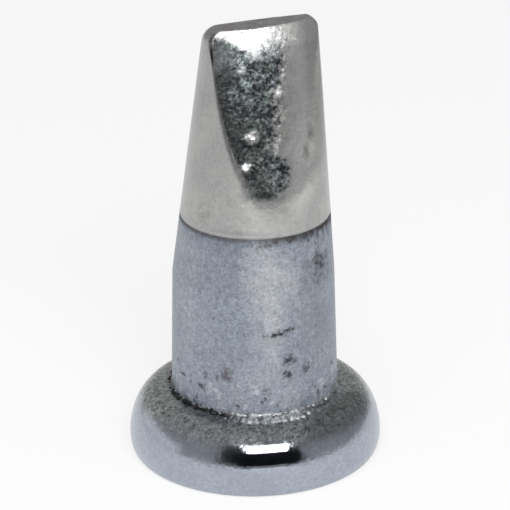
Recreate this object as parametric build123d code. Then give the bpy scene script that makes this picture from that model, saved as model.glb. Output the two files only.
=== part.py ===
from build123d import *

import os
from math import radians, tan

# A slip-on chisel tip for a soldering iron, turned from one copper bar, then plated and tinned.
# The seat face of the flange lies on Z = 0 and the working edge points along +Z.
# The width of the blade runs along X, and its two ground facets face +Y and -Y.
# All sizes are in millimetres.

# Flange: a domed disc that the cap of the iron presses onto its seat
flange_diameter = 7.4
flange_height = 2.0
rim_height = 0.5           # height of the widest ring above the seat face
edge_curl = 0.2            # how far the edge draws in below the widest ring

# Barrel: nearly straight, with a small step and a rough root where it leaves the flange
barrel_root_diameter = 4.87
barrel_top_diameter = 4.69
barrel_top_height = 5.6
shoulder_width = 0.15      # flat ring between the barrel and the dome of the flange
root_fillet = 0.1

# Working end: a cone that leans off the axis, along the width of the blade
overall_height = 13.0
blade_width = 3.22
blade_offset = 0.3
blade_corner_radius = 0.35

# Tinned length: it ends in a fine line round the cone
tin_line_height = 7.35
tin_line_width = 0.06
tin_line_depth = 0.03

# Facets: ground flat, and steeper beside the working edge
blade_thickness = 0.8
facet_start_height = 8.2
edge_bevel_height = 0.75
edge_bevel_angle = 27      # from the axis, in degrees
facet_blend_radius = 4.0
edge_rounding = 0.1        # along the working edge and round both facets

# Blind hole for the heater
bore_diameter = 3.2
bore_depth = 7.0           # straight wall, mouth chamfer included
drill_point_angle = 118
mouth_chamfer = 0.2


def tip_profile_radius(height):
    """Radius of the tapered end at a height above the seat face."""
    share = (height - barrel_top_height) / (overall_height - barrel_top_height)
    return (barrel_top_diameter + (blade_width - barrel_top_diameter) * share) / 2


def tip_section(height, inset=0):
    """Round section of the tapered end, on its leaning axis."""
    share = (height - barrel_top_height) / (overall_height - barrel_top_height)
    return Pos(blade_offset * share, 0, height) * Circle(tip_profile_radius(height) - inset)


def flange_and_barrel():
    """Solid of revolution from the seat face to the start of the taper."""
    flange_radius = flange_diameter / 2
    root_radius = barrel_root_diameter / 2
    dome_radius = root_radius + shoulder_width
    with BuildPart() as turned:
        with BuildSketch(Plane.XZ) as half_section:
            with BuildLine():
                seat = Line((0, 0), (flange_radius - edge_curl, 0))
                curl = EllipticalCenterArc(
                    (flange_radius - edge_curl, rim_height), edge_curl, rim_height, 270, arc_size=90
                )
                dome = EllipticalCenterArc(
                    (dome_radius, rim_height),
                    flange_radius - dome_radius,
                    flange_height - rim_height,
                    0,
                    arc_size=90,
                )
                shoulder = Line(dome @ 1, (root_radius, flange_height))
                Polyline(
                    shoulder @ 1,
                    (barrel_top_diameter / 2, barrel_top_height),
                    (0, barrel_top_height),
                    seat @ 0,
                )
            make_face()
            root = half_section.vertices().sort_by_distance((root_radius, flange_height))[0]
            fillet(root, root_fillet)
        revolve(axis=Axis.Z)
    return turned.part


def tapered_end():
    """Leaning cone in three stretches: plated, the line where the tin ends, and tinned."""
    line_top = tin_line_height + tin_line_width
    plated = loft([tip_section(barrel_top_height), tip_section(tin_line_height)], ruled=True)
    groove = loft(
        [tip_section(tin_line_height, tin_line_depth), tip_section(line_top, tin_line_depth)], ruled=True
    )
    tinned = loft([tip_section(line_top), tip_section(overall_height)], ruled=True)
    return plated + groove + tinned


def facet_cutter():
    """Waste ground off the +Y side of the blade, wider than the cone."""
    reach = barrel_top_diameter
    bevel_base = overall_height - edge_bevel_height
    bevel_slope = tan(radians(edge_bevel_angle))
    bevel_base_y = blade_thickness / 2 + edge_bevel_height * bevel_slope
    start_y = tip_profile_radius(facet_start_height)
    facet_slope = (start_y - bevel_base_y) / (bevel_base - facet_start_height)
    with BuildPart() as cutter:
        with BuildSketch(Plane.YZ) as side:
            with BuildLine():
                Polyline(
                    (reach, facet_start_height - (reach - start_y) / facet_slope),
                    (bevel_base_y, bevel_base),
                    (blade_thickness - bevel_base_y, overall_height + edge_bevel_height),
                    (reach, overall_height + edge_bevel_height),
                    close=True,
                )
            make_face()
            bend = side.vertices().sort_by_distance((bevel_base_y, bevel_base))[0]
            fillet(bend, facet_blend_radius)
        extrude(amount=reach, both=True)
    return cutter.part


def is_facet_border(point):
    """Whether an edge centred on this point runs round a facet, above the tin line."""
    return point.Z > tin_line_height + tin_line_width and abs(point.Y) > blade_thickness / 4


def heater_bore():
    """Drilled blind hole with a pointed end and a chamfered mouth."""
    bore_radius = bore_diameter / 2
    point_depth = bore_radius / tan(radians(drill_point_angle / 2))
    with BuildPart() as hole:
        with BuildSketch(Plane.XZ):
            Polygon(
                (0, 0),
                (bore_radius + mouth_chamfer, 0),
                (bore_radius, mouth_chamfer),
                (bore_radius, bore_depth),
                (0, bore_depth + point_depth),
                align=None,
            )
        revolve(axis=Axis.Z)
    return hole.part


def soldering_tip():
    """The whole tip as one solid."""
    blank = flange_and_barrel() + tapered_end()
    cutter = facet_cutter()
    ground = blank - cutter - mirror(cutter, Plane.XZ)
    working_face = ground.faces().sort_by(Axis.Z)[-1]
    end_arcs = working_face.edges().filter_by(GeomType.LINE, reverse=True)
    ground = fillet(end_arcs, blade_corner_radius)
    curved_edges = ground.edges().filter_by(GeomType.LINE, reverse=True)
    facet_borders = [edge for edge in curved_edges if is_facet_border(edge.center())]
    ground = fillet(facet_borders, edge_rounding)
    return ground - heater_bore()


os.makedirs("parts", exist_ok=True)
tip = soldering_tip()
tip.label = "soldering_tip"
export_step(tip, "parts/soldering_tip.step")
print(f"volume {tip.volume:.2f} mm3, height {tip.bounding_box().size.Z:.3f} mm")
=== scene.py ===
from math import atan2, cos, exp, hypot, pi, radians, sin, sqrt, tan

import bmesh
import bpy
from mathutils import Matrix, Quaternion, Vector, noise


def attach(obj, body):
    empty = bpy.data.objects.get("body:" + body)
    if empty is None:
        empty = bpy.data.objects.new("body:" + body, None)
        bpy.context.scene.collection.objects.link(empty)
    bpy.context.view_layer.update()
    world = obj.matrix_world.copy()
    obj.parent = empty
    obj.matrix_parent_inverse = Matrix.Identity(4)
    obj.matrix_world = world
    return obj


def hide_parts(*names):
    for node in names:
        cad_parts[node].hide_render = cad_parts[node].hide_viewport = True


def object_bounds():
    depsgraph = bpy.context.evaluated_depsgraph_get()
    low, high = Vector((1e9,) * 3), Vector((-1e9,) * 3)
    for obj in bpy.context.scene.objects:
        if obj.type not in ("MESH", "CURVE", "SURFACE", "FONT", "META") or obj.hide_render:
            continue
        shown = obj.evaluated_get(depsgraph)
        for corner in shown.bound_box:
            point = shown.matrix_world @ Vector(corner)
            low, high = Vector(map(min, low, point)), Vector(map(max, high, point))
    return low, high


# A slip-on chisel tip for a soldering iron. One turned copper part with two finishes, so it is made
# as two pieces that meet in the fine line where the tin ends: the plated body, and the tinned end.
# Sizes are in millimetres, and each mesh is turned into metres as its last step. The front facet
# faces -Y. Left and right are as seen from the front, so right is +X.

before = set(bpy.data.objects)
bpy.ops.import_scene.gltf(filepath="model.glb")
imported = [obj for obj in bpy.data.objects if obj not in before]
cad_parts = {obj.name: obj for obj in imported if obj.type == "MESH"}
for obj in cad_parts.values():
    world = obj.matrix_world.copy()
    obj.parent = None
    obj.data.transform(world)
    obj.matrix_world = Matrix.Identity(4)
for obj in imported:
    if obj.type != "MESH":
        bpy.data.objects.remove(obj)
cad_low, cad_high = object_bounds()

MM = 0.001
front = radians(-90)       # where the front is, as an angle round the axis

# Flange
flange_radius = (cad_high.x - cad_low.x) / 2 / MM
flange_height = 2.0
rim_height = 0.5
edge_curl = 0.2            # rounding of the rim's lower edge
dome_radius = 2.585        # where the dome has come up to its full height
dome_width = 1.2           # band in from the rim that has fine waves
dome_waves = 0.006

# Barrel
root_radius = 2.435
barrel_top_radius = 2.345
barrel_top_height = 5.6
root_fillet = 0.1
root_band = 0.25           # foot of the barrel that is divided finely
root_band_draw = 0.003     # how far the barrel draws in over that foot

# Rough plating in the root between barrel and flange
lump_offset = 0.05         # its middle, out from the barrel
lump_rise = 0.03           # its middle, up from the flange
lump_spread = 0.16         # how much farther out its middle is at the front
lump_core = 0.03           # full height up to this far from its middle
lump_reach = 0.24          # and nothing beyond this
root_lumps = 0.11          # how far the lumps stand out
lumps_round = 84           # how many there are in the row round the barrel
crevice_reach = 0.2

# Blind bore
bore_radius = 1.6
bore_depth = 7.0
mouth_chamfer = 0.2
drill_point_height = bore_depth + bore_radius / tan(radians(59))

# Working end
tip_height = (cad_high.z - cad_low.z) / MM
blade_half_width = 1.61
blade_offset = 0.3
left_corner = 0.39
right_corner = 0.27
front_edge_rounding = 0.03
back_edge_rounding = 0.09
rounded_end = 0.4          # height of the rows that follow the rounded corners
edge_tilt = 0.035          # the working edge rises towards the right
edge_dents = 0.012

# Fine line where the tin ends
line_bottom = 7.35
line_top = 7.41
line_depth = 0.016

# Facets, with the skin of solder that sits on them
round_below = 7.42         # the cone is left round up to here
facet_foot_height = 8.2
bevel_height = 12.25
bevel_half_thickness = 0.722
edge_half_thickness = 0.36
edge_slope = tan(radians(29.5))
bevel_rounding = 0.10
solder_skin = 0.02
left_border_rounding = 0.07
right_border_rounding = 0.5
right_border_ends = 0.14   # rounding at the two ends of the right-hand border

# Solder beads on the front facet: across, height, radius, how far they stand out
solder_beads = [
    (-0.50, 10.13, 0.18, 0.062),
    (-0.73, 9.33, 0.13, 0.046),
    (-0.74, 11.85, 0.15, 0.010),
    (0.31, 11.20, 0.17, 0.009),
    (-0.31, 12.32, 0.24, 0.015),
]


# Shapes

def smooth_min(first, second, reach):
    """The smaller of two lengths, rounded off where they are nearly the same."""
    share = max(reach - abs(first - second), 0) / reach
    return min(first, second) - share * share * reach / 4


def ease(low, high, value):
    """0 below low, 1 above high, with a soft change between."""
    share = min(max((value - low) / (high - low), 0), 1)
    return share * share * (3 - 2 * share)


def taper_share(height):
    """0 up to the top of the barrel, 1 at the working edge."""
    return max(height - barrel_top_height, 0) / (tip_height - barrel_top_height)


def cone_radius(height):
    return barrel_top_radius + (blade_half_width - barrel_top_radius) * taper_share(height)


def lean(height):
    """How far the cone's centre has moved along the blade's width at a height."""
    return blade_offset * taper_share(height)


def seam():
    """Where the two pieces meet: the height, the radius of the drill point and of the fine line."""
    height = (line_bottom + line_top) / 2
    bore_share = (drill_point_height - height) / (drill_point_height - bore_depth)
    return height, bore_radius * bore_share, cone_radius(height) - line_depth


def round_off(height, radius):
    """How far a rounded end draws in at a height close to the working edge."""
    above = min(max(height - (tip_height - radius), 0), radius)
    return radius - sqrt(radius * radius - above * above)


def facet_half_thickness(height):
    """Distance of the ground facet from the middle of the blade."""
    foot_depth = cone_radius(facet_foot_height) - bevel_half_thickness
    foot_slope = foot_depth / (bevel_height - facet_foot_height)
    ground = bevel_half_thickness + foot_slope * (bevel_height - height)
    steep = edge_half_thickness + edge_slope * (tip_height - height)
    return smooth_min(ground, steep, bevel_rounding)


def facet_fall(across, side, height):
    """How far a facet falls away from its middle line."""
    near_end = ease(11.8, tip_height - 0.1, height)
    if side > 0:
        fall = 0.03
    elif across > 0:
        fall = 0.09 + 0.05 * near_end
    else:
        fall = 0.035 + 0.035 * near_end
    return fall * across * across


def border_rounding(across, side, height):
    """Rounding between a facet and the cone. It is broad at the right of the front facet."""
    right_rounding = left_border_rounding
    if side < 0:
        broad = ease(8.3, 9.6, height) * (1 - ease(12.3, 12.9, height))
        right_rounding = right_border_ends + (right_border_rounding - right_border_ends) * broad
    left_rounding = left_border_rounding + 0.22 * ease(12.0, 12.6, height)
    rounding = left_rounding + (right_rounding - left_rounding) * ease(-0.5, 0.6, across)
    return rounding + 0.05 * (1 - ease(8.3, 9.0, height))


def ripples(across, side, height):
    """Ripples in the skin of solder on a facet."""
    place = Vector((across, side * 3.0, height))
    ripple = 0.009 * noise.noise(place * 1.9)
    ripple += 0.005 * noise.noise(place * 4.3 + Vector((5, 2, 1)))
    ripple += 0.0025 * noise.noise(place * 9.5 + Vector((1, 7, 4)))
    return ripple


def beads(across, side, height):
    """How far the solder beads stand out at a place on the front facet."""
    stand = 0
    if side < 0:
        for bead_across, bead_height, bead_radius, bead_stand in solder_beads:
            away = hypot(across - bead_across, (height - bead_height) * 1.3) / bead_radius
            stand += bead_stand * exp(-away * away)
    return stand


def blade_section(angle, height):
    """Point on the outline of the working end, from its leaning centre, with how far it is on a
    facet and how far it is at a facet's left border, both from 0 to 1."""
    corner = left_corner + (right_corner - left_corner) * (0.5 + 0.5 * cos(angle))
    radius = cone_radius(height) - round_off(height, corner)
    across, depth = radius * cos(angle), radius * abs(sin(angle))
    side = -1 if sin(angle) < 0 else 1

    half = facet_half_thickness(height) + solder_skin - facet_fall(across, side, height)
    film = ease(0.0, 0.35, depth - half) * (1 - ease(0.45, 0.9, across))
    half += film * ripples(across, side, height)
    half += ease(-0.02, 0.1, depth - half) * beads(across, side, height)
    half -= round_off(height, front_edge_rounding if side < 0 else back_edge_rounding)

    to_right, upper = ease(0, 0.6, across), ease(9.5, 10.5, height)
    outside = 0.02 + 0.16 * to_right * (1 - upper) + 0.2 * (1 - ease(8.4, 9.2, height))
    on_facet = ease(-outside, 0.08 + 0.2 * to_right * upper, depth - half)
    on_facet *= ease(facet_foot_height - 0.6, facet_foot_height + 0.3, height)
    left_border = on_facet * (1 - ease(0.1, 0.6, depth - half)) * (across < 0)
    if height > facet_foot_height - 0.7:
        rounding = min(border_rounding(across, side, height), 0.85 * half)
        depth = max(smooth_min(depth, half, rounding), 0)
    return across, side * depth, on_facet, left_border


def extend(bm, end, across, height):
    """Carries the half profile on from its last point to a new one."""
    made = bmesh.ops.extrude_vert_indiv(bm, verts=[end])["verts"][0]
    made.co = (across, 0, height)
    return made


def extend_straight(bm, end, across, height, steps):
    """Carries the profile on along a straight line, in even steps."""
    first = end.co.copy()
    for step in range(1, steps + 1):
        share = step / steps
        new_across = first.x + (across - first.x) * share
        end = extend(bm, end, new_across, first.z + (height - first.z) * share)
    return end


def extend_round(bm, end, centre, reach, turn, steps):
    """Carries the profile on along an elliptical arc. The turn is in degrees from outward."""
    first, last = turn
    for step in range(1, steps + 1):
        angle = radians(first + (last - first) * step / steps)
        end = extend(bm, end, centre[0] + reach[0] * cos(angle), centre[1] + reach[1] * sin(angle))
    return end


def turn_on_axis(bm, sectors, segments):
    """Spins the half profile into one sector, and repeats that sector round the axis."""
    sector = 2 * pi / sectors
    about = {"cent": (0, 0, 0), "axis": (0, 0, 1)}
    bmesh.ops.spin(bm, geom=bm.verts[:] + bm.edges[:], angle=sector, steps=segments, **about)
    whole = bm.verts[:] + bm.edges[:] + bm.faces[:]
    rest = 2 * pi - sector
    bmesh.ops.spin(bm, geom=whole, angle=rest, steps=sectors - 1, use_duplicate=True, **about)
    bmesh.ops.remove_doubles(bm, verts=bm.verts[:], dist=2e-4)


def add_object(name, data):
    """Puts a mesh, lamp or camera in the scene."""
    made = bpy.data.objects.new(name, data)
    bpy.context.scene.collection.objects.link(made)
    return made


def finish_piece(bm, name, finish):
    """Turns a bmesh in millimetres into a finished piece in metres."""
    bmesh.ops.recalc_face_normals(bm, faces=bm.faces[:])
    bmesh.ops.scale(bm, vec=(MM, MM, MM), verts=bm.verts[:])
    mesh = bpy.data.meshes.new(name)
    bm.to_mesh(mesh)
    bm.free()
    mesh.shade_smooth()
    mesh.set_sharp_from_angle(angle=radians(50))
    mesh.materials.append(finish)
    piece = add_object(name, mesh)
    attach(piece, "root")
    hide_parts("soldering_tip")


def body_profile(bm):
    """Closed half profile of the plated body, from the bore round the flange to the fine line."""
    seam_height, drill_radius, groove_radius = seam()
    start = bm.verts.new((drill_radius, 0, seam_height))
    end = extend_straight(bm, start, bore_radius, bore_depth, 2)
    end = extend_straight(bm, end, bore_radius, mouth_chamfer, 10)
    end = extend_straight(bm, end, bore_radius + mouth_chamfer, 0, 2)
    rim_radius = flange_radius - edge_curl
    end = extend_straight(bm, end, rim_radius, 0, 6)
    end = extend_round(bm, end, (rim_radius, rim_height), (edge_curl, rim_height), (-90, 0), 10)
    dome_reach = (flange_radius - dome_radius, flange_height - rim_height)
    end = extend_round(bm, end, (dome_radius, rim_height), dome_reach, (0, 90), 38)
    end = extend_straight(bm, end, root_radius + root_fillet, flange_height, 2)
    fillet_centre = (root_radius + root_fillet, flange_height + root_fillet)
    end = extend_round(bm, end, fillet_centre, (root_fillet, root_fillet), (270, 180), 8)
    end = extend_straight(bm, end, root_radius - root_band_draw, flange_height + root_band, 4)
    end = extend_straight(bm, end, barrel_top_radius, barrel_top_height, 16)
    end = extend_straight(bm, end, cone_radius(line_bottom - 0.02), line_bottom - 0.02, 8)
    end = extend(bm, end, cone_radius(line_bottom) - 0.007, line_bottom - 0.004)
    end = extend(bm, end, groove_radius, line_bottom + 0.008)
    end = extend(bm, end, groove_radius, seam_height)
    bm.edges.new((end, start))


def roughen_root(vert, across, height, crevice, lump):
    """Makes the plating in the root lumpy. It stands out most, and farther out, at the front."""
    angle = atan2(vert.co.y, vert.co.x)
    at_front = ease(0.72, 0.97, cos(angle - front))
    outward = across - root_radius - lump_offset
    upward = height - flange_height - lump_rise
    near_root = 1 - ease(lump_core, lump_reach, hypot(outward - lump_spread * at_front, upward))
    if near_root > 0 and height > rim_height:
        wander = 3 * noise.noise(Vector((cos(angle), sin(angle), 0)) * 5)
        lumps = 0.3 + 0.15 * at_front + 0.3 * cos(lumps_round * angle + wander)
        lumps += 0.6 * noise.noise(vert.co * 2.6) + 1.0 * noise.noise(vert.co * 5.5)
        stand = root_lumps * near_root * (0.4 + 0.6 * at_front) * max(lumps, -0.3)
        vert.co.x += stand * cos(angle) * 0.75
        vert.co.y += stand * sin(angle) * 0.75
        vert.co.z += stand * 0.65
        vert[crevice] = 1 - ease(0.0, crevice_reach, hypot(outward, upward))
        vert[lump] = near_root * ease(-0.2, 0.9, lumps)


def plated_body(finish):
    """Flange, barrel and the plated start of the taper, with the bore inside."""
    bm = bmesh.new()
    body_profile(bm)
    turn_on_axis(bm, 20, 30)
    crevice = bm.verts.layers.float.new("crevice")
    lump = bm.verts.layers.float.new("lump")
    for vert in bm.verts:
        across, height = hypot(vert.co.x, vert.co.y), vert.co.z
        if across > bore_radius + 0.05 and height > barrel_top_height:
            vert.co.x += lean(height)
        roughen_root(vert, across, height, crevice, lump)
        if across > flange_radius - dome_width and 0.05 < height < flange_height:
            wave = noise.noise(Vector((vert.co.x, vert.co.y, height)) * 0.9)
            vert.co.z -= dome_waves * (0.6 + wave)
    finish_piece(bm, "plated_body", finish)


def end_profile(bm):
    """Half profile of the tinned end, from the drill point round the fine line to the top."""
    seam_height, drill_radius, groove_radius = seam()
    rounded_from = tip_height - rounded_end
    start = bm.verts.new((0, 0, drill_point_height))
    end = extend_straight(bm, start, drill_radius, seam_height, 3)
    end = extend_straight(bm, end, groove_radius, seam_height, 3)
    end = extend(bm, end, groove_radius, line_top - 0.008)
    end = extend(bm, end, cone_radius(line_top) - 0.005, line_top + 0.003)
    end = extend(bm, end, cone_radius(line_top) + 0.004, line_top + 0.025)
    end = extend_straight(bm, end, cone_radius(7.6), 7.6, 4)
    end = extend_straight(bm, end, cone_radius(facet_foot_height), facet_foot_height, 10)
    end = extend_straight(bm, end, cone_radius(rounded_from), rounded_from, 120)
    rows = 24
    for row in range(1, rows + 1):
        height = rounded_from + (tip_height - rounded_from) * sin(radians(90 * row / rows))
        end = extend(bm, end, cone_radius(height), height)
    extend_straight(bm, end, 0, tip_height, 10)


def tinned_end(finish):
    """Tinned cone, its two facets and the working edge."""
    bm = bmesh.new()
    end_profile(bm)
    turn_on_axis(bm, 16, 30)
    drill_radius = seam()[1]
    facet = bm.verts.layers.float.new("facet")
    left_border = bm.verts.layers.float.new("left_border")
    end_face = bm.verts.layers.float.new("end_face")
    for vert in bm.verts:
        across, height = hypot(vert.co.x, vert.co.y), vert.co.z
        if across < drill_radius + 0.01 and height < drill_point_height + 0.01:
            continue
        inward = across / cone_radius(height)
        x, y, on_facet, at_left = blade_section(atan2(vert.co.y, vert.co.x), height)
        if height < round_below:
            x, y = vert.co.x, vert.co.y
            inward = 1
        vert.co.x = lean(height) + inward * x
        vert.co.y = inward * y
        vert[facet] = on_facet * (1 - ease(0.985, 1, 1 - inward))
        vert[left_border] = at_left
        vert.co.z += edge_tilt * ease(11.5, tip_height, height) * (inward * x + 1.0)
        if height > tip_height - 0.02:
            dent = noise.noise(Vector((vert.co.x * 2.6, vert.co.y * 4, 8)))
            vert[end_face] = ease(tip_height - 0.02, tip_height, height)
            vert.co.z -= edge_dents * max(dent, 0) * vert[end_face]
    finish_piece(bm, "tinned_end", finish)


# Finishes

class Signal:
    """A number that a finish's nodes work out, which can be used in plain sums."""

    def __init__(self, finish, socket):
        self.finish = finish
        self.socket = socket

    def __add__(self, other):
        return self.finish.math("ADD", self, other)

    def __radd__(self, other):
        return self.finish.math("ADD", other, self)

    def __sub__(self, other):
        return self.finish.math("SUBTRACT", self, other)

    def __rsub__(self, other):
        return self.finish.math("SUBTRACT", other, self)

    def __mul__(self, other):
        return self.finish.math("MULTIPLY", self, other)

    def __rmul__(self, other):
        return self.finish.math("MULTIPLY", other, self)

    def limited(self):
        """Kept between 0 and 1."""
        made = self.finish.node("Clamp", {}, {"Value": self})
        return Signal(self.finish, made.outputs["Result"])

    def rise(self, low, high):
        """0 at low, 1 at high, with a soft change between. Low may be above high."""
        ends = {"Value": self, "From Min": low, "From Max": high}
        made = self.finish.node("MapRange", {"interpolation_type": "SMOOTHSTEP"}, ends)
        return Signal(self.finish, made.outputs["Result"])


class Finish:
    """A material and the nodes that make it. Its places and sizes are in millimetres."""

    def __init__(self, name):
        self.material = bpy.data.materials.new(name)
        self.material.use_nodes = True
        self.tree = self.material.node_tree
        self.tree.nodes.clear()
        where = self.node("TexCoord", {}, {}).outputs["Object"]
        self.place = self.vector("SCALE", {"Vector": where, "Scale": 1 / MM})
        parts = self.node("SeparateXYZ", {}, {"Vector": self.place})
        self.x = Signal(self, parts.outputs["X"])
        self.y = Signal(self, parts.outputs["Y"])
        self.z = Signal(self, parts.outputs["Z"])

    def node(self, kind, settings, sockets):
        """Adds a node. Its settings come first, then the values or links of its sockets."""
        made = self.tree.nodes.new("ShaderNode" + kind)
        for name, value in settings.items():
            setattr(made, name, value)
        for name, value in sockets.items():
            if isinstance(value, Signal):
                value = value.socket
            if isinstance(value, bpy.types.NodeSocket):
                self.tree.links.new(value, made.inputs[name])
            else:
                made.inputs[name].default_value = value
        return made

    def math(self, operation, first, second):
        made = self.node("Math", {"operation": operation}, {0: first, 1: second})
        return Signal(self, made.outputs[0])

    def vector(self, operation, sockets):
        return self.node("VectorMath", {"operation": operation}, sockets).outputs["Vector"]

    def mix(self, share, first, second):
        """Colour that goes from the first to the second."""
        first, second = [
            colour if isinstance(colour, bpy.types.NodeSocket) else (*colour, 1)
            for colour in (first, second)
        ]
        made = self.node("Mix", {"data_type": "RGBA"}, {0: share, 6: first, 7: second})
        return made.outputs[2]

    def coats(self, colour, *coats):
        """Colour under several coats, each with how far it covers and its own colour."""
        for share, coat in coats:
            colour = self.mix(share, colour, coat)
        return colour

    def shade(self, colour, amount):
        """Colour made darker or lighter by a number that changes over the surface."""
        return self.vector("SCALE", {"Vector": colour, "Scale": amount})

    def attribute(self, name):
        made = self.node("Attribute", {"attribute_name": name}, {})
        return Signal(self, made.outputs["Fac"])

    def noise(self, size, detail=2.0, shift=0.0, roughness=0.5, distortion=0.0):
        """Even noise from 0 to 1 whose features are about as large as the size."""
        scale = (1 / size,) * 3
        away = (shift, shift * 0.7, shift * 1.3)
        moved = self.vector("MULTIPLY_ADD", {0: self.place, 1: scale, 2: away})
        sockets = {
            "Vector": moved,
            "Scale": 1.0,
            "Detail": detail,
            "Roughness": roughness,
            "Distortion": distortion,
        }
        return Signal(self, self.node("TexNoise", {}, sockets).outputs["Fac"])

    def spot(self, centre, size, ragged, stretch, grain, shift):
        """One stain or pit, with broken edges. The centre is a point on the surface."""
        offset = self.vector("SUBTRACT", {0: self.place, 1: centre})
        scale = tuple(1 / (size * part) for part in stretch)
        squashed = self.vector("MULTIPLY", {0: offset, 1: scale})
        length = self.node("VectorMath", {"operation": "LENGTH"}, {0: squashed})
        away = Signal(self, length.outputs["Value"])
        broken = (self.noise(grain, 3.0, shift=shift) - 0.5) * ragged * 4
        return (away + broken).rise(1.1, 0.0)

    def spots(self, *marks):
        """Several spots in one. Each has its strength first, then what spot takes."""
        total = 0.0
        for strength, *mark in marks:
            total = total + strength * self.spot(*mark)
        return total

    def surface(self, colour, roughness, bump):
        """Bare metal. Its bump is in millimetres."""
        lumps = self.node("Bump", {}, {"Strength": 1.0, "Distance": MM, "Height": bump})
        sockets = {
            "Base Color": colour,
            "Roughness": roughness,
            "Metallic": 1.0,
            "Normal": lumps.outputs["Normal"],
        }
        return self.output(self.node("BsdfPrincipled", {}, sockets))

    def output(self, shader):
        self.node("OutputMaterial", {}, {"Surface": shader.outputs[0]})
        return self.material


def on_barrel(azimuth, height, radius=2.4):
    """Point on the barrel. Azimuth 0 faces the front facet, and 90 the right-hand side."""
    angle = radians(azimuth)
    return radius * sin(angle), -radius * cos(angle), height


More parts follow.
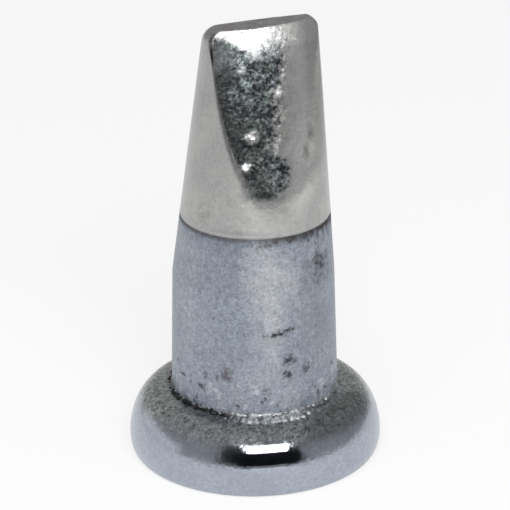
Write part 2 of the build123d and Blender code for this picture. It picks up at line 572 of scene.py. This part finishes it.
def worn_chrome_plate():
    """Matt chrome on the barrel and brighter chrome on the flange, with grain, pits and grime, and
    with painted shade, a painted sheen, a painted dark reflection and painted highlights.
    """
    finish = Finish("worn_chrome_plate")
    x, y, z = finish.x, finish.y, finish.z
    barrel = z.rise(2.03, 2.16)
    low = z.rise(4.0, 2.5) * barrel
    dull = z.rise(1.35, 1.8) * (1 - barrel)
    clouds = finish.noise(1.6, 3.0)
    drift = finish.noise(0.5, 3.0, shift=4.0)
    blots = finish.noise(0.22, 3.0, shift=13.0, roughness=0.6)
    fine = finish.noise(0.15, 3.0, shift=2.0, roughness=0.65)
    grain = finish.noise(0.07, 2.0, shift=9.0, roughness=0.6)

    # pits and marks on the barrel, which lie thicker towards its root
    pits = blots.rise(0.69 - 0.08 * low, 0.77 - 0.08 * low) * barrel
    pale = blots.rise(0.34 + 0.11 * low, 0.24 + 0.11 * low) * barrel
    stain = finish.spot(on_barrel(42, 6.3, 2.3), 0.54, 0.7, (1, 1, 1.15), 0.22, 1.0)
    stain = stain * (0.3 + 0.7 * fine.rise(0.40, 0.60))
    streak = finish.spot(on_barrel(2.2, 4.5), 0.22, 0.5, (1.5, 1, 0.45), 0.1, 5.0)
    streak_end = finish.spot(on_barrel(9.5, 4.6), 0.19, 0.6, (1.6, 1, 0.45), 0.1, 2.0)
    pit_group = finish.spots(
        (1.0, on_barrel(9.2, 3.22), 0.17, 0.5, (1.2, 1, 1.0), 0.1, 8.0),
        (1.0, on_barrel(10.6, 3.65), 0.22, 0.6, (1, 1, 1.2), 0.12, 3.0),
        (0.7, on_barrel(24, 3.3), 0.19, 0.6, (1, 1, 1), 0.1, 6.0),
    )
    old_marks = finish.spots(
        (0.6, on_barrel(-54, 2.75), 0.11, 0.5, (1.4, 1, 0.7), 0.09, 7.0),
        (0.45, on_barrel(-49.8, 3.1), 0.11, 0.5, (0.7, 1, 1.6), 0.09, 5.0),
        (0.45, on_barrel(-40.8, 3.15), 0.1, 0.5, (0.7, 1, 1.6), 0.09, 3.0),
        (0.55, on_barrel(-24.8, 2.58), 0.1, 0.5, (1, 1, 1), 0.09, 1.0),
        (0.35, on_barrel(-6.4, 2.84), 0.13, 0.6, (1.2, 1, 0.8), 0.09, 4.0),
    )
    rust = finish.spot(on_barrel(-33.4, 3.28), 0.26, 0.6, (1, 1, 1.2), 0.1, 3.0)

    # light and dark clouds on the barrel; the light streak down its front is partly rubbed wear and
    # partly a painted sheen, and its right-hand side has painted shade
    rub_and_painted_sheen = finish.spots(
        (1.0, on_barrel(-5, 6.3), 1.1, 0.3, (1, 1, 1.3), 0.5, 2.0),
        (0.9, on_barrel(-3, 4.6), 0.6, 0.4, (1, 1, 3.0), 0.4, 5.0),
    ).limited()
    light_cloud = finish.spot(on_barrel(13, 6.1), 0.5, 0.4, (1, 1, 1.4), 0.3, 6.0)
    # painted shade over the barrel's right-hand side
    right_side_shade = finish.spot(on_barrel(34, 4.9), 0.95, 0.5, (1, 1, 2.4), 0.3, 4.0)

    # black grime and painted shade in the crevice at the root, mostly on the left, and the lumps in
    # front of it painted pale as a painted highlight
    to_left = x.rise(-0.9, -1.5)
    ragged = 1.3 * (fine - 0.5) + 1.9 * (blots - 0.5)
    crevice_grime_and_shade = (finish.attribute("crevice") + ragged + 0.26 * to_left).rise(0.92, 1.08)
    crevice_grime_and_shade = crevice_grime_and_shade * (0.4 + 0.6 * to_left).limited() * drift.rise(0.28, 0.46)
    # painted highlight: the lumps at the front of the root are painted pale where they catch the
    # light
    lump_highlight = 1.1 * finish.attribute("lump").rise(0.0, 0.25)
    lump_highlight = lump_highlight * y.rise(-1.9, -2.3) * x.rise(-1.3, -0.8) * x.rise(1.4, 0.4)
    lump_highlight = lump_highlight * (0.4 + 0.6 * fine.rise(0.34, 0.52))

    # the dome is tarnished at the front right, partly a painted dark reflection, and polished where
    # it is brightest
    tarnish_and_dark_reflection = (0.68 * x - 0.73 * y + 0.5 * (drift - 0.5)).rise(2.45, 2.95)
    tarnish_and_dark_reflection = tarnish_and_dark_reflection * z.rise(1.3, 1.6) * (1 - barrel) * y.rise(-0.7, -1.6)
    polished = finish.spot((-0.39, -3.15, 1.15), 1.0, 0.1, (1.4, 1, 0.9), 0.3, 2.0)
    polished = (2.2 * polished).limited()

    # brown along the fine line, and grime below it on the right
    line = (z + 0.2 * (fine - 0.5)).rise(7.22, 7.33)
    line_grime = (z + 1.2 * (blots - 0.5)).rise(6.95, 7.5) * (0.12 + 0.78 * x.rise(-0.8, 0.1))

    marks = 0.85 * stain + 1.1 * streak + 0.85 * streak_end + 0.95 * pit_group + 1.2 * old_marks
    dark = (marks + line_grime).limited()
    plate = finish.coats(
        finish.mix(barrel, (0.40, 0.43, 0.49), (0.323, 0.355, 0.413)),
        (dull * 0.8, (0.37, 0.38, 0.365)),
        (dull * y.rise(-1.7, -0.4) * 0.3, (0.62, 0.61, 0.59)),
        # tarnish and painted dark reflection on the dome's front right
        (tarnish_and_dark_reflection * 0.55, (0.09, 0.095, 0.095)),
        (clouds.rise(0.4, 0.7) * 0.5 * barrel, (0.39, 0.41, 0.445)),
        # painted sheen down the barrel's front, partly rubbed wear, with a lighter cloud
        ((rub_and_painted_sheen * 0.75 + light_cloud * 0.5).limited(), (0.52, 0.535, 0.56)),
        # painted shade on the barrel's right-hand side
        (right_side_shade * 0.32, (0.18, 0.18, 0.19)),
        (dark, (0.06, 0.06, 0.065)),
        (pits * 0.7, (0.10, 0.10, 0.105)),
        (pale * 0.55, (0.58, 0.60, 0.63)),
        (rust * 0.62, (0.12, 0.075, 0.075)),
        (line * (0.2 + 0.6 * blots), (0.12, 0.11, 0.105)),
        # painted highlight on the front lumps of the root
        (lump_highlight * 0.9, (0.82, 0.84, 0.86)),
        # grime and painted shade in the crevice, left off the pale front lumps
        (crevice_grime_and_shade * (1 - lump_highlight) * 0.92, (0.012, 0.012, 0.013)),
    )
    mottled = 0.5 * barrel + 2.0 * dull + 0.45
    tone = 1.0 + 0.3 * (clouds - 0.5) + mottled * (grain - 0.5) + mottled * (fine - 0.5)
    plate = finish.shade(plate, tone)

    rough = 0.2 - 0.145 * polished + 0.24 * barrel + 0.12 * dull + 0.06 * (clouds - 0.5)
    rough = rough + 0.14 * (fine - 0.5) * (barrel + dull) + 0.28 * lump_highlight
    rough = rough + 0.2 * (pits + dark + rust + crevice_grime_and_shade + line).limited()
    unpolished = 1 - 0.97 * polished
    bump = (0.003 * barrel + 0.0016 * dull + 0.0006) * grain
    bump = bump + (0.007 * barrel + 0.006 * dull + 0.006 * unpolished) * fine
    bump = bump + 0.02 * drift * barrel + 0.006 * blots * (1 - barrel) * unpolished
    bump = bump - 0.012 * pits - 0.015 * pit_group - 0.01 * streak + 0.008 * rust
    return finish.surface(plate, rough, bump)


def solder_tin():
    """Smooth grey tin on the cone, and a darker rippled skin of used solder on the facets."""
    finish = Finish("solder_tin")
    x, z = finish.x, finish.z
    facet = finish.attribute("facet")
    end_face = finish.attribute("end_face")
    clouds = finish.noise(1.3, 3.0)
    drift = finish.noise(0.45, 3.0, shift=4.0, distortion=0.4)
    mottle = finish.noise(0.17, 4.0, shift=6.0, roughness=0.65)
    fine = finish.noise(0.09, 3.0, shift=2.0, roughness=0.6)

    # clean solder: the steep strip by the edge, a tongue below it, a haze on its right, and beads
    strip_foot = z + 0.4 * (mottle - 0.5) - 0.3 * x.rise(-0.35, -0.95)
    clean_strip = strip_foot.rise(12.40, 12.70)
    tongue = finish.spot((-0.03, -0.58, 12.50), 0.26, 0.8, (1.2, 1, 1.3), 0.15, 2.0)
    haze = finish.spots(
        (1.0, (0.38, -0.62, 12.55), 0.62, 0.5, (1.1, 1, 0.8), 0.15, 3.0),
        (0.8, (-0.04, -0.72, 12.3), 0.26, 0.5, (1, 1, 1), 0.12, 8.0),
    ).limited()
    clean_beads = finish.spots(
        (1.0, (-0.32, -1.50, 10.18), 0.21, 0.4, (1.4, 1, 0.9), 0.1, 2.0),
        (1.0, (-0.58, -1.70, 9.40), 0.16, 0.5, (1.3, 1, 1), 0.1, 5.0),
        (1.0, (0.55, -1.04, 11.22), 0.3, 0.5, (1.1, 1, 1), 0.12, 3.0),
        (0.35, (-0.48, -0.85, 11.9), 0.2, 0.6, (1, 1, 1.2), 0.12, 6.0),
    ).limited()

    # used solder covers the rest of the facet, up to a ragged limit on its right
    right_limit = 0.34 + 0.19 * (z - 10) + 0.5 * z.rise(9.8, 9.3) - 0.3 * z.rise(9.0, 8.35)
    used = facet * (x - right_limit + 0.9 * (mottle - 0.5)).rise(0.14, -0.22)
    used = used * (1 - 0.9 * clean_strip) * (1 - 0.6 * tongue) * (1 - 0.85 * clean_beads)
    used = used * (z + 0.5 * (mottle - 0.5)).rise(8.3, 8.65)
    near_edge = clean_strip * facet * x.rise(0.75, 0.3)
    dimpled = (clean_strip * x.rise(0.25, 0.5) + haze).limited() * facet

    # used solder is mottled, blackest at its left border and in the corner by the edge
    clots = 0.35 * mottle + 0.45 * fine + 0.2 * drift
    flecks = (0.5 * mottle + 0.5 * fine).rise(0.56, 0.68) * (0.2 + 0.7 * z.rise(9.9, 9.3))
    corner = z.rise(10.9, 11.7) * x.rise(-0.45, -0.85)
    worn_patch = finish.spots(
        (1.0, (0.03, -1.75, 8.92), 0.42, 0.6, (0.8, 1, 1.2), 0.12, 4.0),
        (1.0, (0.05, -1.42, 9.8), 0.3, 0.6, (0.8, 1, 1.3), 0.12, 1.0),
        (1.0, (-0.5, -1.46, 9.68), 0.2, 0.6, (1, 1, 1), 0.12, 9.0),
    ).limited()
    border = finish.attribute("left_border") * (0.35 + 0.65 * mottle.rise(0.40, 0.60))
    solder = finish.mix(drift.rise(0.35, 0.65), (0.185, 0.205, 0.23), (0.175, 0.21, 0.20))
    solder = finish.coats(
        finish.shade(solder, 1.0 + 1.6 * z.rise(10.0, 9.3) + 0.7 * z.rise(10.9, 11.6)),
        (clots.rise(0.71, 0.42), (0.008, 0.009, 0.010)),
        (flecks, (0.46, 0.48, 0.48)),
        (corner * 0.8, (0.02, 0.022, 0.024)),
        (haze * (0.35 + 0.5 * mottle), (0.50, 0.51, 0.52)),
        (worn_patch * 0.55, (0.42, 0.43, 0.43)),
        (border * 0.85, (0.010, 0.010, 0.010)),
    )

    # stains on the tin of the cone, darker tin towards its right side, and brown on the end face
    # and where it wraps round the corner
    brown = finish.mix(drift.rise(0.4, 0.62), (0.46, 0.42, 0.42), (0.50, 0.50, 0.49))
    side_stain = finish.spot((-1.67, -1.1, 7.9), 0.34, 0.6, (1, 1, 1.3), 0.15, 2.0)
    right_side_darkening = x.rise(1.15, 1.6) * z.rise(8.6, 9.8)
    darker_tin = (0.20, 0.197, 0.19)
    film_end = finish.spots(
        (1.0, (1.38, -1.33, 10.08), 0.22, 0.25, (0.8, 1.8, 1.5), 0.15, 5.0),
        (1.0, (1.21, -1.45, 9.62), 0.22, 0.25, (0.8, 1.8, 1.5), 0.15, 5.0),
    ).limited()
    wrap = finish.spot((-1.4, -0.35, 12.75), 0.4, 0.3, (0.7, 1, 1.3), 0.15, 3.0)
    line = (z + 0.06 * (fine - 0.5)).rise(7.44, 7.42)
    tin = finish.coats(
        finish.mix(clouds.rise(0.35, 0.7), (0.42, 0.418, 0.413), (0.48, 0.476, 0.468)),
        (facet * (1 - used) * 0.8, finish.mix(haze, (0.72, 0.72, 0.70), (0.26, 0.27, 0.28))),
        (used * 0.97, solder),
        (drift.rise(0.58, 0.72) * 0.3 * (1 - used), (0.30, 0.275, 0.24)),
        (side_stain * 0.3, (0.20, 0.18, 0.15)),
        # darker towards the right side of the cone
        (right_side_darkening * 0.4, darker_tin),
        (film_end * 0.7, darker_tin),
        ((end_face + wrap).limited() * 0.9, brown),
        (line * 0.2, (0.10, 0.09, 0.085)),
    )
    tin = finish.shade(tin, 1.0 + (0.45 + 0.9 * end_face) * (fine - 0.5) + 0.16 * (drift - 0.5))

    rough = 0.26 - 0.05 * near_edge + 0.08 * (clouds - 0.5) + 0.08 * used + 0.1 * dimpled
    rough = rough + 0.2 * wrap + 0.14 * (mottle - 0.5) * used + 0.12 * end_face
    bump = (0.001 + 0.007 * used) * (mottle - 0.5) + (0.0008 + 0.005 * used) * (fine - 0.5)
    bump = bump + 0.006 * (drift - 0.5) * (1 - used)
    bump = bump + (0.012 * end_face + 0.008 * dimpled) * mottle
    return finish.surface(tin, rough, bump)


def white_paper():
    """Matt white, evened out where it is seen as background, straight or in the metal."""
    finish = Finish("white_paper")
    rays = finish.node("LightPath", {}, {})
    straight = Signal(finish, rays.outputs["Is Camera Ray"])
    mirrored = Signal(finish, rays.outputs["Is Glossy Ray"])
    mirrored = mirrored + Signal(finish, rays.outputs["Is Transmission Ray"])
    seen = (0.73 * straight + 0.24 * mirrored).limited()
    paper = finish.node("BsdfDiffuse", {}, {"Color": (0.91, 0.91, 0.91, 1)})
    glow = finish.node("Emission", {}, {"Color": (1, 1, 1, 1), "Strength": 1.0})
    sockets = {0: seen, 1: paper.outputs[0], 2: glow.outputs[0]}
    return finish.output(finish.node("MixShader", {}, sockets))


def black_felt():
    """Matt black of the dark card."""
    finish = Finish("dark_card")
    sockets = {"Base Color": (0.012, 0.012, 0.014, 1), "Roughness": 0.9, "Metallic": 0.0}
    return finish.output(finish.node("BsdfPrincipled", {}, sockets))


# Studio

middle_of_tip = Vector((0, 0, 0.006))


def direction(azimuth, elevation):
    """Unit vector away from the tip. Azimuth 0 is straight in front, and 90 on the right."""
    turn, rise = radians(azimuth), radians(elevation)
    return Vector((sin(turn) * cos(rise), -cos(turn) * cos(rise), sin(rise)))


def stage_object(bm, name, finish):
    """Turns a bmesh in metres into a part of the studio."""
    mesh = bpy.data.meshes.new(name)
    bm.to_mesh(mesh)
    bm.free()
    mesh.materials.append(finish)
    made = add_object(name, mesh)
    return made


def pale_floor():
    bm = bmesh.new()
    bmesh.ops.create_circle(bm, cap_ends=True, segments=96, radius=4.0)
    bmesh.ops.translate(bm, vec=(0, 0, -0.00001), verts=bm.verts[:])
    stage_object(bm, "floor", white_paper())


def dark_card(azimuth, half_width, distance, foot_height, top_height):
    """Curved dark card in front of the tip, which the facets and the flange reflect."""
    bm = bmesh.new()
    first = radians(azimuth - half_width)
    foot = bm.verts.new((distance * sin(first), -distance * cos(first), foot_height))
    top = bmesh.ops.extrude_vert_indiv(bm, verts=[foot])["verts"][0]
    top.co.z = top_height
    turn = radians(2 * half_width)
    edge = bm.verts[:] + bm.edges[:]
    bmesh.ops.spin(bm, geom=edge, cent=(0, 0, 0), axis=(0, 0, 1), angle=turn, steps=24)
    card = stage_object(bm, "dark_card", black_felt())
    card.visible_camera = False


def add_lamp(name, kind, azimuth, elevation):
    """Lamp of a kind that shines towards the tip, before its size and strength are set."""
    made = add_object(name, bpy.data.lights.new(name, kind))
    made.rotation_mode = "QUATERNION"
    made.rotation_quaternion = direction(azimuth, elevation).to_track_quat("Z", "Y")
    return made


def area_lamp(name, azimuth, elevation, distance, width, height, level):
    """Flat lamp that faces the tip. The level is the brightness of its face."""
    made = add_lamp(name, "AREA", azimuth, elevation)
    made.data.shape = "RECTANGLE"
    made.data.size = width
    made.data.size_y = height
    made.data.energy = level * pi * width * height
    made.location = middle_of_tip + direction(azimuth, elevation) * distance
    made.visible_camera = False
    return made


def soft_sun(azimuth, elevation, spread, strength):
    """Wide soft lamp that lights the floor and isn't seen in the metal."""
    made = add_lamp("soft_sun", "SUN", azimuth, elevation)
    made.data.angle = radians(spread)
    made.data.energy = strength
    made.visible_glossy = False


def grey_room(level):
    """Even light from all round."""
    world = bpy.data.worlds.new("grey_room")
    world.use_nodes = True
    world.node_tree.nodes["Background"].inputs["Color"].default_value = (*level, 1)
    world.node_tree.nodes["Background"].inputs["Strength"].default_value = 1
    bpy.context.scene.world = world


def camera_at(location, target, lens, roll):
    """Camera at the photograph's place. Location and target are in millimetres, roll in degrees."""
    lens_data = bpy.data.cameras.new("camera")
    lens_data.lens = lens
    lens_data.sensor_width = 36
    lens_data.clip_start = 0.001
    lens_data.clip_end = 20
    camera = add_object("camera", lens_data)
    camera.location = Vector(location) * MM
    facing = (Vector(target) - Vector(location)).to_track_quat("-Z", "Y")
    camera.rotation_mode = "QUATERNION"
    camera.rotation_quaternion = facing @ Quaternion((0, 0, 1), radians(roll))
    bpy.context.scene.camera = camera


camera_at((-18.05, -72.39, 37.55), (0.051, -0.013, 6.006), lens=197.8, roll=-0.63)
bpy.context.scene.view_settings.view_transform = "Standard"
pale_floor()
dark_card(azimuth=-9, half_width=38, distance=0.5, foot_height=0.035, top_height=0.536)

# the softbox makes the bright spot on the dome, the left panel lights the cone's left side, and the
# front fill, which isn't seen in the metal, adds light to its matt parts
area_lamp("softbox", -1.7, 34.1, distance=0.14, width=0.088, height=0.037, level=9.0)
area_lamp("left_panel", -115, 7, distance=0.5, width=0.55, height=0.12, level=0.55)
front_fill = area_lamp("front_fill", -12, 40, distance=0.065, width=0.035, height=0.035, level=3.5)
front_fill.visible_glossy = False
soft_sun(-30, 60, spread=40, strength=1.0)
grey_room((0.36, 0.365, 0.37))

plated_body(worn_chrome_plate())
tinned_end(solder_tin())
